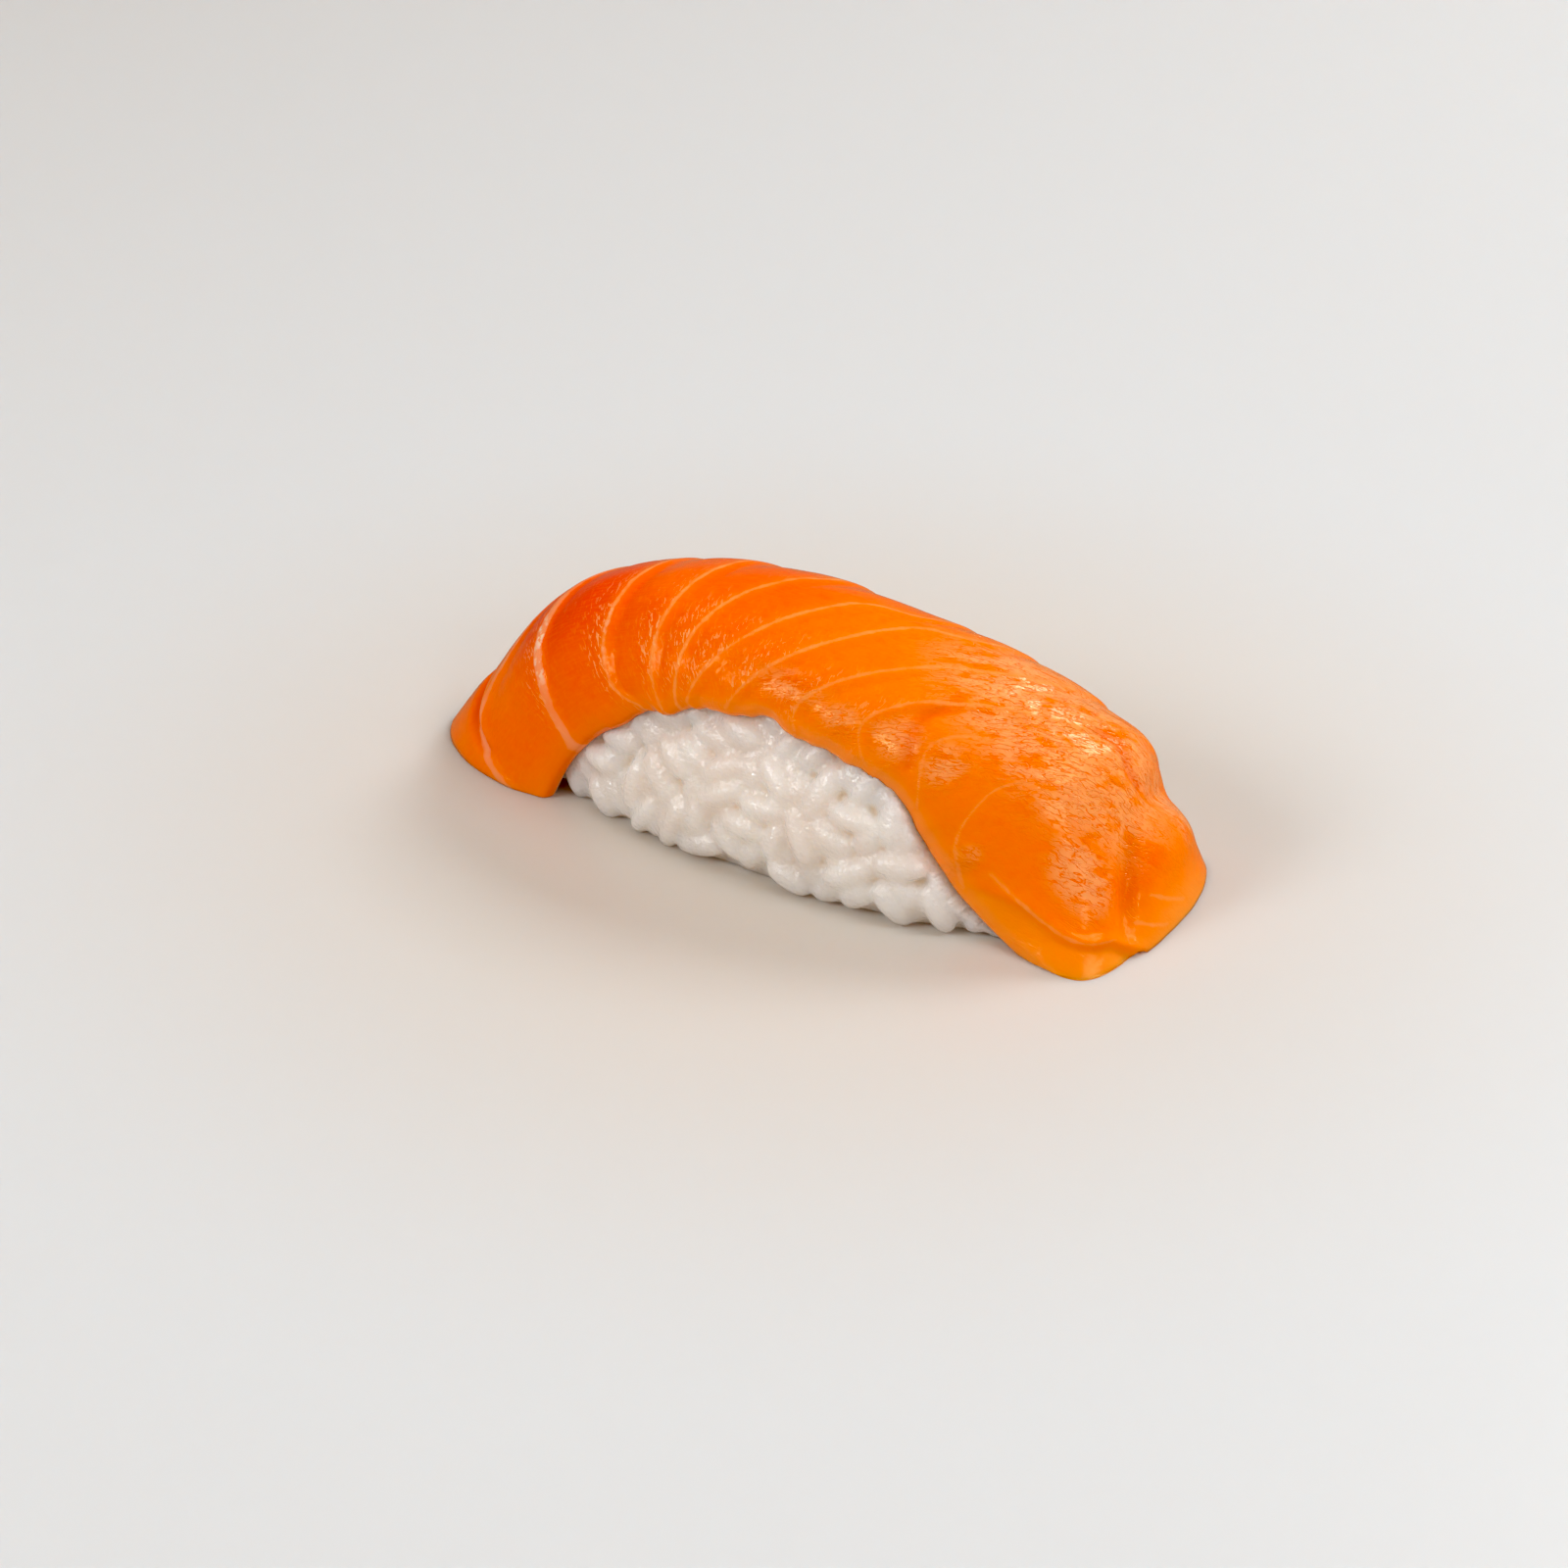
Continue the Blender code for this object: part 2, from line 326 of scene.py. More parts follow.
def smooth_line(places, count=60):
    """A rounded line through places on the slice, evenly in their order."""
    keys = np.array(places)
    position = np.linspace(0.0, len(keys) - 1.0, count)
    index = np.clip(position.astype(int), 0, len(keys) - 2)
    t = (position - index)[:, None]
    padded = np.vstack([2 * keys[0] - keys[1], keys, 2 * keys[-1] - keys[-2]])
    p0, p1, p2, p3 = (padded[index + shift] for shift in range(4))
    return 0.5 * (2 * p1 + (p2 - p0) * t + (2 * p0 - 5 * p1 + 4 * p2 - p3) * t ** 2
                  + (3 * p1 - p0 - 3 * p2 + p3) * t ** 3)


def distance_to_line(line, flat):
    """Signed distance in millimetres from flat slice coordinates to a line; positive on the
    side towards the right end."""
    start = line[:-1] * (SLICE_LENGTH, HALF_WIDTH)
    leg = line[1:] * (SLICE_LENGTH, HALF_WIDTH) - start
    best = np.full(len(flat), np.inf)
    side = np.ones(len(flat))
    for origin, run in zip(start, leg):
        offset = flat - origin
        share = np.clip(offset @ run / (run @ run), 0.0, 1.0)
        gap = np.linalg.norm(offset - share[:, None] * run, axis=1)
        nearer = gap < best
        best = np.where(nearer, gap, best)
        turn = run[1] * offset[:, 0] - run[0] * offset[:, 1]
        side = np.where(nearer, np.sign(turn), side)
    return best * side


def flake_pattern(along, across):
    """How the flakes lie at each place, in millimetres: the distance from the nearest fat line's
    edge, from the line on the left and from the line on the right; and the flake's number."""
    flat = np.stack([along.ravel() * SLICE_LENGTH, across.ravel() * HALF_WIDTH], axis=1)
    edge = np.full(len(flat), np.inf)
    left = np.full(len(flat), 9.0)
    right = np.full(len(flat), 9.0)
    number = np.zeros(len(flat))
    for width, places in FLAKE_LINES:
        signed = distance_to_line(smooth_line(places), flat)
        edge = np.minimum(edge, np.abs(signed) - width / 2)
        left = np.where(signed > 0.0, np.minimum(left, signed), left)
        right = np.where(signed <= 0.0, np.minimum(right, -signed), right)
        number += signed > 0.0
    for width, places in SHORT_LINES:
        signed = distance_to_line(smooth_line(places), flat)
        edge = np.minimum(edge, np.abs(signed) - width / 2)
    return (values.reshape(along.shape) for values in (edge, left, right, number))


def crease_depth(points):
    """Depth of the valley in the right end, deepest halfway down."""
    top = smooth_skin(*(np.array(value) for value in CREASE_TOP))
    foot = smooth_skin(*(np.array(value) for value in CREASE_FOOT))
    line = foot - top
    share = (points - top) @ line / (line @ line)
    gap = np.linalg.norm(points - top - share[..., None] * line, axis=-1)
    depth = CREASE_DEPTH * np.sin(math.pi * np.clip(share, 0.0, 1.0))
    return depth * np.exp(-(gap / CREASE_HALF_WIDTH) ** 2)


def flake_relief(left, right):
    """Each flake rises from its left line to its right one, where it drops to the next."""
    way = left / (left + right + 0.001)
    rise = np.maximum(way ** 1.5, np.exp(-(left / FLAKE_DROP) ** 2))
    return FLAKE_STEP * rise + FLAKE_BULGE * np.sin(math.pi * way)


def lumps(points, size, shift):
    """Smooth noise from -1 to 1 with lumps of about that size."""
    scaled = points.reshape(-1, 3) / size + shift
    return np.array([noise.noise(place) for place in scaled.tolist()]).reshape(points.shape[:-1])


def swellings(along, across):
    """Broad bulges and waists of the skin."""
    height = np.zeros(along.shape)
    for centre, middle, reach, spread, tall in SWELLINGS:
        gap = ((along - centre) / reach) ** 2 + ((across - middle) / spread) ** 2
        height += tall * np.exp(-gap)
    return height


def furrow_depth(along, across):
    flat = np.stack([along.ravel() * SLICE_LENGTH, across.ravel() * HALF_WIDTH], axis=1)
    depth = np.zeros(len(flat))
    for deepest, half_width, places in FURROWS:
        line = smooth_line(places)
        gap = distance_to_line(line, flat) * MM
        depth = np.maximum(depth, deepest * np.exp(-(gap / half_width) ** 2))
    return depth.reshape(along.shape)


def end_face_depth(along, across):
    """How far the cut end face lies behind the skin, and how much a place belongs to it."""
    flat = np.stack([along.ravel() * SLICE_LENGTH, across.ravel() * HALF_WIDTH], axis=1)
    beyond = distance_to_line(smooth_line(END_EDGE), flat).reshape(along.shape)
    beyond = np.where(along > 0.75, beyond, -9.0)
    share = np.clip(beyond / 0.8, 0.0, 1.0)
    ridge = 0.18 * MM * np.exp(-((beyond + 0.3) / 0.6) ** 2)
    begun = smooth_step(along, 0.80, 0.90)
    return (END_RECESS * share - ridge) * begun, share


def round_at_floor(points, away, along, across):
    """Turn the slab's lower edges in where it stands on the floor."""
    radius = np.minimum(FLOOR_ROUNDING, 0.3 * thickness(along, across))
    height = np.clip(points[..., 2], 0.0, None)
    lack = np.clip(radius - height, 0.0, None)
    pull = radius - np.sqrt(np.maximum(radius ** 2 - lack ** 2, 0.0))
    level = away * np.array((1.0, 1.0, 0.0))
    rounded = points - level * pull[..., None]
    rounded[..., 2] = height
    return rounded


def rest_on_floor(points):
    """Both end rings lie on the floor and every ring between them above it."""
    order = np.arange(RINGS)
    steps = np.minimum(np.minimum(order, order[::-1]), LOW_RINGS)
    points[..., 2] = np.maximum(points[..., 2], steps[:, None] * LOW_RING_RISE)
    points[[0, -1], :, 2] = 0.0


def ragged_hem(points, along, across):
    """Push the hem in and out so that its edge runs unevenly, most where it lies on top."""
    near = np.clip((np.abs(across) - 0.8) / 0.2, 0.0, 1.0)
    side = np.sign(across)
    keys = np.stack([along * SLICE_LENGTH * MM, side * MM, 0 * along], axis=-1)
    push = HEM_RAGGED * (0.7 * lumps(keys, 5.5 * MM, 3.0) + 0.3 * lumps(keys, 1.9 * MM, 7.0))
    raised = smooth_step(points[..., 2], *RAGGED_HEIGHTS)
    moved = points.copy()
    moved[..., 1] += side * push * near * raised * 0.5
    moved[..., 2] -= push * near * raised * 0.8
    return moved


def grid_faces(rings, columns):
    ring = np.arange(rings - 1)[:, None] * columns
    column = np.arange(columns)[None, :]
    following = (column + 1) % columns
    faces = np.stack([ring + column, ring + columns + column, ring + columns + following, ring + following], axis=-1)
    return faces.reshape(-1, 4).tolist()


def make_salmon():
    across, angle = loop_layout()
    along = columns_above_floor(across, angle)
    across = np.broadcast_to(across, along.shape)
    angle = np.broadcast_to(angle, along.shape)
    points, away = slab_points(along, across, angle)
    edge, left, right, number = flake_pattern(along, across)
    recess, end_face = end_face_depth(along, across)
    on_skin = 0.5 + 0.5 * np.cos(angle)
    hem_fade = np.clip((1.0 - np.abs(across)) / 0.1, 0.0, 1.0)
    furrow = furrow_depth(along, across)
    height = (flake_relief(left, right) - furrow) * hem_fade + swellings(along, across)
    height = (height - crease_depth(points) - recess) * on_skin
    for shift, (size, tall) in enumerate(LUMPS):
        height += tall * lumps(points, size, 10.0 * shift)
    points = points + away * height[..., None]
    points = ragged_hem(points, along, across)
    points = round_at_floor(points, away, along, across)
    rest_on_floor(points)

    columns = along.shape[1]
    faces = grid_faces(RINGS, columns)
    faces.append(list(range(columns)))
    faces.append(list(range(RINGS * columns - 1, (RINGS - 1) * columns - 1, -1)))
    mesh = bpy.data.meshes.new("salmon")
    mesh.from_pydata(points.reshape(-1, 3).tolist(), [], faces)
    store_place_map(mesh, along, across)
    store_values(mesh, "line_edge", edge)
    store_values(mesh, "flake_tone", np.modf(number * 0.618)[0])
    store_values(mesh, "hem_gap", (HEM_EDGE - np.abs(across)) * HALF_WIDTH)
    store_values(mesh, "furrow", furrow / (0.5 * MM) * on_skin)
    store_values(mesh, "end_face", end_face * on_skin)
    store_values(mesh, "crackle", patches(along, -np.abs(across), CRACKLED, 0.12) * on_skin)
    store_values(mesh, "deep", patches(along, across, DEEP, 0.0))
    store_values(mesh, "pale_and_sheen", patches(along, across, PALE_AND_SHEEN, 0.0) * on_skin)
    store_values(mesh, "painted_glint", patches(along, across, PAINTED_GLINT_SPOTS, 0.0) * on_skin)
    beside_line = np.exp(-((right - 0.5) / WRINKLE_REACH) ** 2)
    store_values(mesh, "wrinkle", (0.15 + 0.85 * beside_line) * patches(along, -np.abs(across), WRINKLED, 0.0) * on_skin)
    shade_sides_smooth(mesh)
    salmon = bpy.data.objects.new("salmon", mesh)
    bpy.context.scene.collection.objects.link(salmon)
    salmon.data.materials.append(salmon_material())
    return salmon


# Where the wet skin is crackled, alike at the front and the back: centre along and across,
# reach along and across, strength. There the plateaus get a painted highlight and the cracks painted shade.
CRACKLED = [
    (0.74, 0.00, 0.13, 0.42, 1.0), (0.87, -0.42, 0.05, 0.16, 0.7), (0.62, -0.68, 0.035, 0.20, 0.6),
    (0.68, -0.62, 0.03, 0.18, 0.6), (0.50, -0.68, 0.05, 0.16, 0.5), (0.56, -0.75, 0.03, 0.14, 0.6),
    (0.79, -0.86, 0.015, 0.1, 0.9),
]
# Where it is finely wrinkled beside the fat lines, and painted glints are strewn, in the same terms.
WRINKLED = [
    (0.175, -0.50, 0.05, 0.30, 0.8), (0.27, -0.50, 0.04, 0.36, 1.0), (0.34, -0.52, 0.04, 0.32, 1.0),
    (0.39, -0.54, 0.05, 0.28, 1.0), (0.45, -0.60, 0.06, 0.24, 1.0), (0.53, -0.68, 0.07, 0.20, 0.9),
    (0.63, -0.70, 0.06, 0.20, 0.8),
]
WRINKLE_REACH = 1.8   # in millimetres, from a line towards the left


# Where the flesh is deepest in colour, in the same terms.
DEEP = [
    (0.23, -0.05, 0.10, 0.50, 1.0), (0.30, -0.35, 0.10, 0.30, 0.5), (0.905, -0.15, 0.030, 0.30, 0.45),
    (0.40, 0.10, 0.12, 0.50, 0.5), (0.55, 0.30, 0.15, 0.40, 0.25), (0.80, 0.16, 0.03, 0.10, 0.35),
]


# Where it is palest, in part paler flesh and in part a painted sheen, and where painted glints sit on the fat lines,
# in the same terms.
PALE_AND_SHEEN = [
    (0.985, 0.05, 0.035, 0.45, 1.0), (0.79, 0.0, 0.06, 0.25, 0.3), (0.02, -0.35, 0.05, 0.60, 0.35),
    (0.10, -0.40, 0.04, 0.35, 0.22), (0.62, -0.60, 0.10, 0.35, 0.22),
]
# The painted glint spots on the fat lines.
PAINTED_GLINT_SPOTS = [(0.198, -0.38, 0.010, 0.16, 1.0), (0.185, -0.55, 0.010, 0.10, 0.8), (0.282, -0.50, 0.01, 0.2, 0.5)]


def patches(along, across, spots, least):
    """The strongest of several soft spots at each place."""
    share = np.full(along.shape, least)
    for centre, middle, reach, spread, strength in spots:
        gap = ((along - centre) / reach) ** 2 + ((across - middle) / spread) ** 2
        share = np.maximum(share, strength * np.exp(-gap * 0.8))
    return share


def store_place_map(mesh, along, across):
    """A UV map in tenths of metres along and across the slice, for patterns that follow it."""
    places = np.stack([along.ravel() * SLICE_LENGTH, across.ravel() * HALF_WIDTH], axis=1) * 0.01
    corners = np.empty(len(mesh.loops), dtype=np.int64)
    mesh.loops.foreach_get("vertex_index", corners)
    layer = mesh.uv_layers.new(name="place")
    layer.data.foreach_set("uv", places[corners].astype(np.float32).ravel())


def store_values(mesh, name, values):
    attribute = mesh.attributes.new(name, "FLOAT", "POINT")
    attribute.data.foreach_set("value", values.astype(np.float32).ravel())


def shade_sides_smooth(mesh):
    """Smooth shading everywhere but on the faces that rest on the floor."""
    middles = np.empty(len(mesh.polygons) * 3, dtype=np.float32)
    mesh.polygons.foreach_get("center", middles)
    mesh.polygons.foreach_set("use_smooth", middles[2::3] > BASE_HEIGHT)
    mesh.update()


def salmon_material():
    material, tree, shader = new_material("raw salmon")
    place = add_node(tree, "ShaderNodeUVMap", uv_map="place").outputs[0]
    space = add_node(tree, "ShaderNodeTexCoord").outputs["Object"]
    cracks = skin_cracks(tree, place)
    wrinkles = skin_wrinkles(tree, place)
    connect(tree, salmon_colour(tree, place, space, cracks, wrinkles), shader.inputs["Base Color"])
    connect(tree, salmon_bump(tree, place, space, cracks, wrinkles), shader.inputs["Normal"])
    rough = smooth_range(tree, noise_value(tree, space, 260.0, 3.0), 0.35, 0.65, 0.07, 0.15)
    rough = plus(tree, rough, times(tree, attribute_value(tree, "crackle"), 0.07))
    connect(tree, rough, shader.inputs["Roughness"])
    shader.inputs["IOR"].default_value = 1.31
    shader.inputs["Specular Tint"].default_value = (1.0, 0.75, 0.30, 1)
    shader.inputs["Subsurface Weight"].default_value = 0.5
    shader.inputs["Subsurface Radius"].default_value = (1.0, 0.30, 0.08)
    shader.inputs["Subsurface Scale"].default_value = 0.0015
    return material


def skin_cracks(tree, place):
    """Winding cracks drawn out along the slice: 0 in them, 1 on the plateaus between."""
    drawn = slanting(tree, place, (2.0, 0.55))
    long_ones = broken(tree, drawn, worm_value(tree, drawn, 100.0, 0.2), 110.0)
    short_ones = broken(tree, drawn, worm_value(tree, drawn, 190.0, 0.2), 150.0)
    return math_node(tree, "MINIMUM", long_ones, plus(tree, times(tree, short_ones, 0.7), 0.3))


def slanting(tree, place, stretch):
    """Coordinates for a pattern drawn out at a slant along the slice."""
    inputs = {"Vector": place, "Rotation": (0.0, 0.0, CRACK_SLANT), "Scale": (*stretch, 1.0)}
    return add_node(tree, "ShaderNodeMapping", inputs, vector_type="TEXTURE").outputs[0]


def broken(tree, vector, cracks, scale):
    """The cracks with stretches of them closed up."""
    closed = smooth_range(tree, noise_value(tree, vector, scale, 1.0), 0.50, 0.58)
    return math_node(tree, "MAXIMUM", cracks, closed)


def skin_wrinkles(tree, place):
    """Short fine wrinkles that run across the slice, for the bump and for the painted glints."""
    upright = add_node(tree, "ShaderNodeMapping", {"Vector": place, "Scale": (260.0, 100.0, 1.0)}).outputs[0]
    return noise_value(tree, upright, 1.0, 2.0, 0.6, 0.8)


def salmon_colour(tree, place, space, cracks, wrinkles):
    along = add_node(tree, "ShaderNodeSeparateXYZ", {0: place}).outputs[0]
    wander = math_node(tree, "SUBTRACT", noise_value(tree, space, 120.0, 3.0), 0.5)
    flake = math_node(tree, "SUBTRACT", attribute_value(tree, "flake_tone"), 0.5)
    tone = plus(tree, along, plus(tree, times(tree, wander, 0.35), times(tree, flake, 0.12)))
    flesh = mix_colours(tree, smooth_range(tree, tone, 0.25, 0.80), (0.90, 0.132, 0.001, 1), (1.0, 0.20, 0.001, 1))
    deep = plus(tree, attribute_value(tree, "deep"), times(tree, wander, 0.3))
    flesh = mix_colours(tree, smooth_range(tree, deep, 0.1, 1.0), flesh, (0.80, 0.042, 0.0004, 1))
    calmer = smooth_range(tree, along, 0.45, 0.80, 0.24, 0.10)
    mottle = times(tree, smooth_range(tree, noise_value(tree, space, 900.0, 3.0, 0.7), 0.45, 0.70), calmer)
    flesh = mix_colours(tree, mottle, flesh, (0.86, 0.060, 0.0004, 1))
    fibres = add_node(tree, "ShaderNodeMapping", {"Vector": place, "Scale": (40.0, 420.0, 1.0)}).outputs[0]
    streaks = smooth_range(tree, noise_value(tree, fibres, 1.0, 3.0, 0.6), 0.40, 0.75, 0.0, 0.16)
    flesh = mix_colours(tree, streaks, flesh, (1.0, 0.26, 0.01, 1))
    # Painted highlight and shade on the crackled skin: paler plateaus in patches, darker cracks between them.
    drawn = slanting(tree, place, (1 / 18.0, 1 / 50.0))
    painted_sheen_patches = smooth_range(tree, noise_value(tree, drawn, 1.0, 4.0, 0.62, 0.2), 0.38, 0.50)
    crackled = smooth_range(tree, attribute_value(tree, "crackle"), 0.15, 0.6)
    painted_crack_shade = times(tree, math_node(tree, "SUBTRACT", 1.0, cracks), times(tree, crackled, 0.6))
    flesh = mix_colours(tree, painted_crack_shade, flesh, (0.88, 0.105, 0.0004, 1))
    painted_plateau_highlight = times(tree, times(tree, painted_sheen_patches, cracks), times(tree, crackled, 0.9))
    flesh = mix_colours(tree, painted_plateau_highlight, flesh, (1.0, 0.37, 0.13, 1))
    # Painted glints: pale orange specks where the fine wrinkles rise beside the fat lines.
    painted_glints = times(tree, smooth_range(tree, wrinkles, 0.54, 0.63), attribute_value(tree, "wrinkle"))
    # Painted glow: paler and yellower towards the thin hem, standing for light through it from the rice; less of it
    # towards the left.
    hem_gap = attribute_value(tree, "hem_gap")
    paler = smooth_range(tree, along, 0.22, 0.60, 0.35, 1.0)
    hem = times(tree, smooth_range(tree, hem_gap, 5.0, 0.5, 0.0, 0.80), paler)
    flesh = mix_colours(tree, hem, flesh, (0.98, 0.215, 0.003, 1))
    hem_lip_glow = times(tree, smooth_range(tree, hem_gap, 2.0, 0.0, 0.0, 0.65), paler)
    flesh = mix_colours(tree, hem_lip_glow, flesh, (0.98, 0.31, 0.075, 1))
    flesh = mix_colours(tree, times(tree, attribute_value(tree, "end_face"), 0.55), flesh, (1.0, 0.31, 0.04, 1))
    # Paler flesh together with a painted sheen of reflected light, at both ends, the top right and the front middle.
    flesh = mix_colours(tree, times(tree, attribute_value(tree, "pale_and_sheen"), 0.8), flesh, (1.0, 0.32, 0.05, 1))
    # Painted shade: darker red down in the furrows.
    flesh = mix_colours(tree, times(tree, attribute_value(tree, "furrow"), 0.55), flesh, (0.70, 0.030, 0.0004, 1))
    ragged = math_node(tree, "SUBTRACT", noise_value(tree, space, 800.0, 3.0), 0.5)
    line_edge = plus(tree, attribute_value(tree, "line_edge"), times(tree, ragged, 0.5))
    uneven = smooth_range(tree, noise_value(tree, space, 160.0), 0.3, 0.6, 0.55, 0.95)
    fat = times(tree, smooth_range(tree, line_edge, 0.22, -0.18), uneven)
    flesh = mix_colours(tree, smooth_range(tree, line_edge, 1.3, 0.0, 0.0, 0.25), flesh, (1.0, 0.24, 0.004, 1))
    fat_colour = mix_colours(tree, smooth_range(tree, along, 0.20, 0.34), (0.96, 0.32, 0.14, 1), (1.0, 0.32, 0.08, 1))
    flesh = mix_colours(tree, fat, flesh, fat_colour)
    # Painted glints: white-pink specks on the fat lines at the painted glint spots.
    specks = smooth_range(tree, noise_value(tree, space, 1100.0, 2.0, 0.6), 0.50, 0.62)
    painted_sparks = times(tree, times(tree, specks, fat), attribute_value(tree, "painted_glint"))
    flesh = mix_colours(tree, painted_sparks, flesh, (1.0, 0.72, 0.55, 1))
    return mix_colours(tree, times(tree, painted_glints, 0.8), flesh, (1.0, 0.45, 0.18, 1))


def salmon_bump(tree, place, space, cracks, wrinkles):
    """Wet skin: cracks between flat plateaus, fine wrinkles beside the fat lines, fine grain."""
    crackle = attribute_value(tree, "crackle")
    plateaus = times(tree, cracks, times(tree, crackle, 1.4))
    swell = times(tree, noise_value(tree, place, 36.0, 1.0), plus(tree, times(tree, crackle, 4.5), 1.5))
    fine = times(tree, wrinkles, times(tree, attribute_value(tree, "wrinkle"), 2.4))
    grain = times(tree, noise_value(tree, space, 700.0, 2.0, 0.5), 0.25)
    relief = plus(tree, plus(tree, plateaus, swell), plus(tree, fine, grain))
    return add_node(tree, "ShaderNodeBump", {"Strength": 1.0, "Distance": 0.00006, "Height": relief}).outputs[0]


# ---------------------------------------------------------------- the rice

def loaf_points(directions, length, width, height):
    """Points of the unit ball pushed out to a squarish loaf, a little wider at its right end."""
    x, y, z = np.abs(directions).T
    plan = x ** PLAN_SQUARENESS + y ** PLAN_SQUARENESS
    reach = (plan ** (PROFILE_SQUARENESS / PLAN_SQUARENESS) + z ** PROFILE_SQUARENESS) ** (-1.0 / PROFILE_SQUARENESS)
    widths = width * (1.0 + RICE_TAPER * directions[:, 0] * reach)
    return directions * reach[:, None] * np.stack([0 * x + length / 2, widths / 2, 0 * x + height], axis=1)


def make_loaf(name, shrink):
    """The rice bed's plain shape, as much smaller all round as shrink says, flat underneath."""
    low, high = (Vector(corner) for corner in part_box("rice_bed"))
    work = bmesh.new()
    bmesh.ops.create_icosphere(work, subdivisions=6, radius=1.0)
    directions = np.array([vertex.co.normalized() for vertex in work.verts])
    size = high - low
    places = loaf_points(directions, size.x - 2 * shrink, size.y - 2 * shrink, LOAF_HEIGHT - shrink)
    middle = ((low + high) / 2).xy
    for vertex, place in zip(work.verts, places):
        vertex.co = (place[0] + middle.x, place[1] + middle.y, max(place[2], 0.0))
    mesh = bpy.data.meshes.new(name)
    work.to_mesh(mesh)
    work.free()
    loaf = bpy.data.objects.new(name, mesh)
    bpy.context.scene.collection.objects.link(loaf)
    return loaf


def smoothed(mesh, rounds):
    """The mesh's vertex places after each has moved to the middle of its neighbours, many times."""
    places = vertex_places(mesh)
    edges = np.empty(len(mesh.edges) * 2, dtype=np.int32)
    mesh.edges.foreach_get("vertices", edges)
    first, second = edges.reshape(-1, 2).T
    degree = np.bincount(edges, minlength=len(places))[:, None]
    for _ in range(rounds):
        total = np.stack([np.bincount(first, places[second, axis], len(places))
                          + np.bincount(second, places[first, axis], len(places)) for axis in range(3)], axis=1)
        places = total / degree
    return places


def surface_samples(places, triangles, count, rng):
    """Places strewn evenly over triangles, and the outward directions there."""
    corners = places[triangles]
    cross = np.cross(corners[:, 1] - corners[:, 0], corners[:, 2] - corners[:, 0])
    area = np.linalg.norm(cross, axis=1)
    chosen = rng.choice(len(triangles), count, p=area / area.sum())
    shares = rng.dirichlet((1.0, 1.0, 1.0), count)
    spots = (corners[chosen] * shares[..., None]).sum(axis=1)
    return spots, cross[chosen] / area[chosen, None]


def lay_grains(loaf, slab):
    """Grains that don't cross: middle, outward direction, lengthwise direction, share of the length."""
    rng = np.random.default_rng(GRAIN_SEED)
    loaf.calc_loop_triangles()
    triangles = np.array([triangle.vertices for triangle in loaf.loop_triangles])
    places = vertex_places(loaf)
    triangles = triangles[places[triangles][..., 2].max(axis=1) > 0.0]
    radius = GRAIN_WIDTH / 2
    along_grain = np.linspace(-1.0, 1.0, 5)[:, None] * (GRAIN_LENGTH / 2 - radius)
    laid = np.empty((0, 5, 3))
    grains = []
    for sink, crowding, shortest in zip(GRAIN_LAYERS, GRAIN_CROWDING, GRAIN_SHORTEST):
        spots, outwards = surface_samples(places, triangles, GRAIN_TRIES, rng)
        turns = rng.uniform(0.0, math.tau, GRAIN_TRIES)
        tilts = rng.normal(0.0, 0.22, GRAIN_TRIES)
        shares = rng.uniform(shortest, 1.05, GRAIN_TRIES)
        for spot, out, turn, tilt, share in zip(spots, outwards, turns, tilts, shares):
            side = unit(np.cross(out, (0.31, 0.17, 0.94)))
            lie = side * math.cos(turn) + np.cross(out, side) * math.sin(turn)
            lie = unit(lie + out * tilt)
            axis = spot - out * sink + share * along_grain * lie
            axis[:, 2] += max(0.0, 0.9 * radius - axis[:, 2].min())
            middle = axis[2]
            if middle[2] > spot[2] + radius or under_slab(axis, slab):
                continue
            gaps = np.linalg.norm(laid[:, :, None] - axis[None, None], axis=-1)
            if len(laid) and gaps.min() < crowding * GRAIN_WIDTH:
                continue
            laid = np.concatenate([laid, axis[None]])
            grains.append((middle, out, lie, share))
    return grains


def under_slab(axis, slab):
    """True where a grain's middle would lie in the slice or out of sight well under it."""
    if way_out(Vector(axis[2]), slab)[2] is not None:
        return True
    return axis[2][2] > COVERED_HEIGHT and np.abs(axis[:, 1]).max() < COVERED_HALF_WIDTH


def grain_points(grains):
    """A mesh of loose points, one for each grain, which carry how it lies."""
    mesh = bpy.data.meshes.new("grain points")
    mesh.from_pydata([tuple(grain[0]) for grain in grains], [], [])
    store_values(mesh, "share", np.array([grain[3] for grain in grains]))
    for name, column in (("facing", 1), ("lie", 2)):
        attribute = mesh.attributes.new(name, "FLOAT_VECTOR", "POINT")
        attribute.data.foreach_set("vector", np.array([grain[column] for grain in grains], dtype=np.float32).ravel())
    points = bpy.data.objects.new("grain points", mesh)
    bpy.context.scene.collection.objects.link(points)
    return points


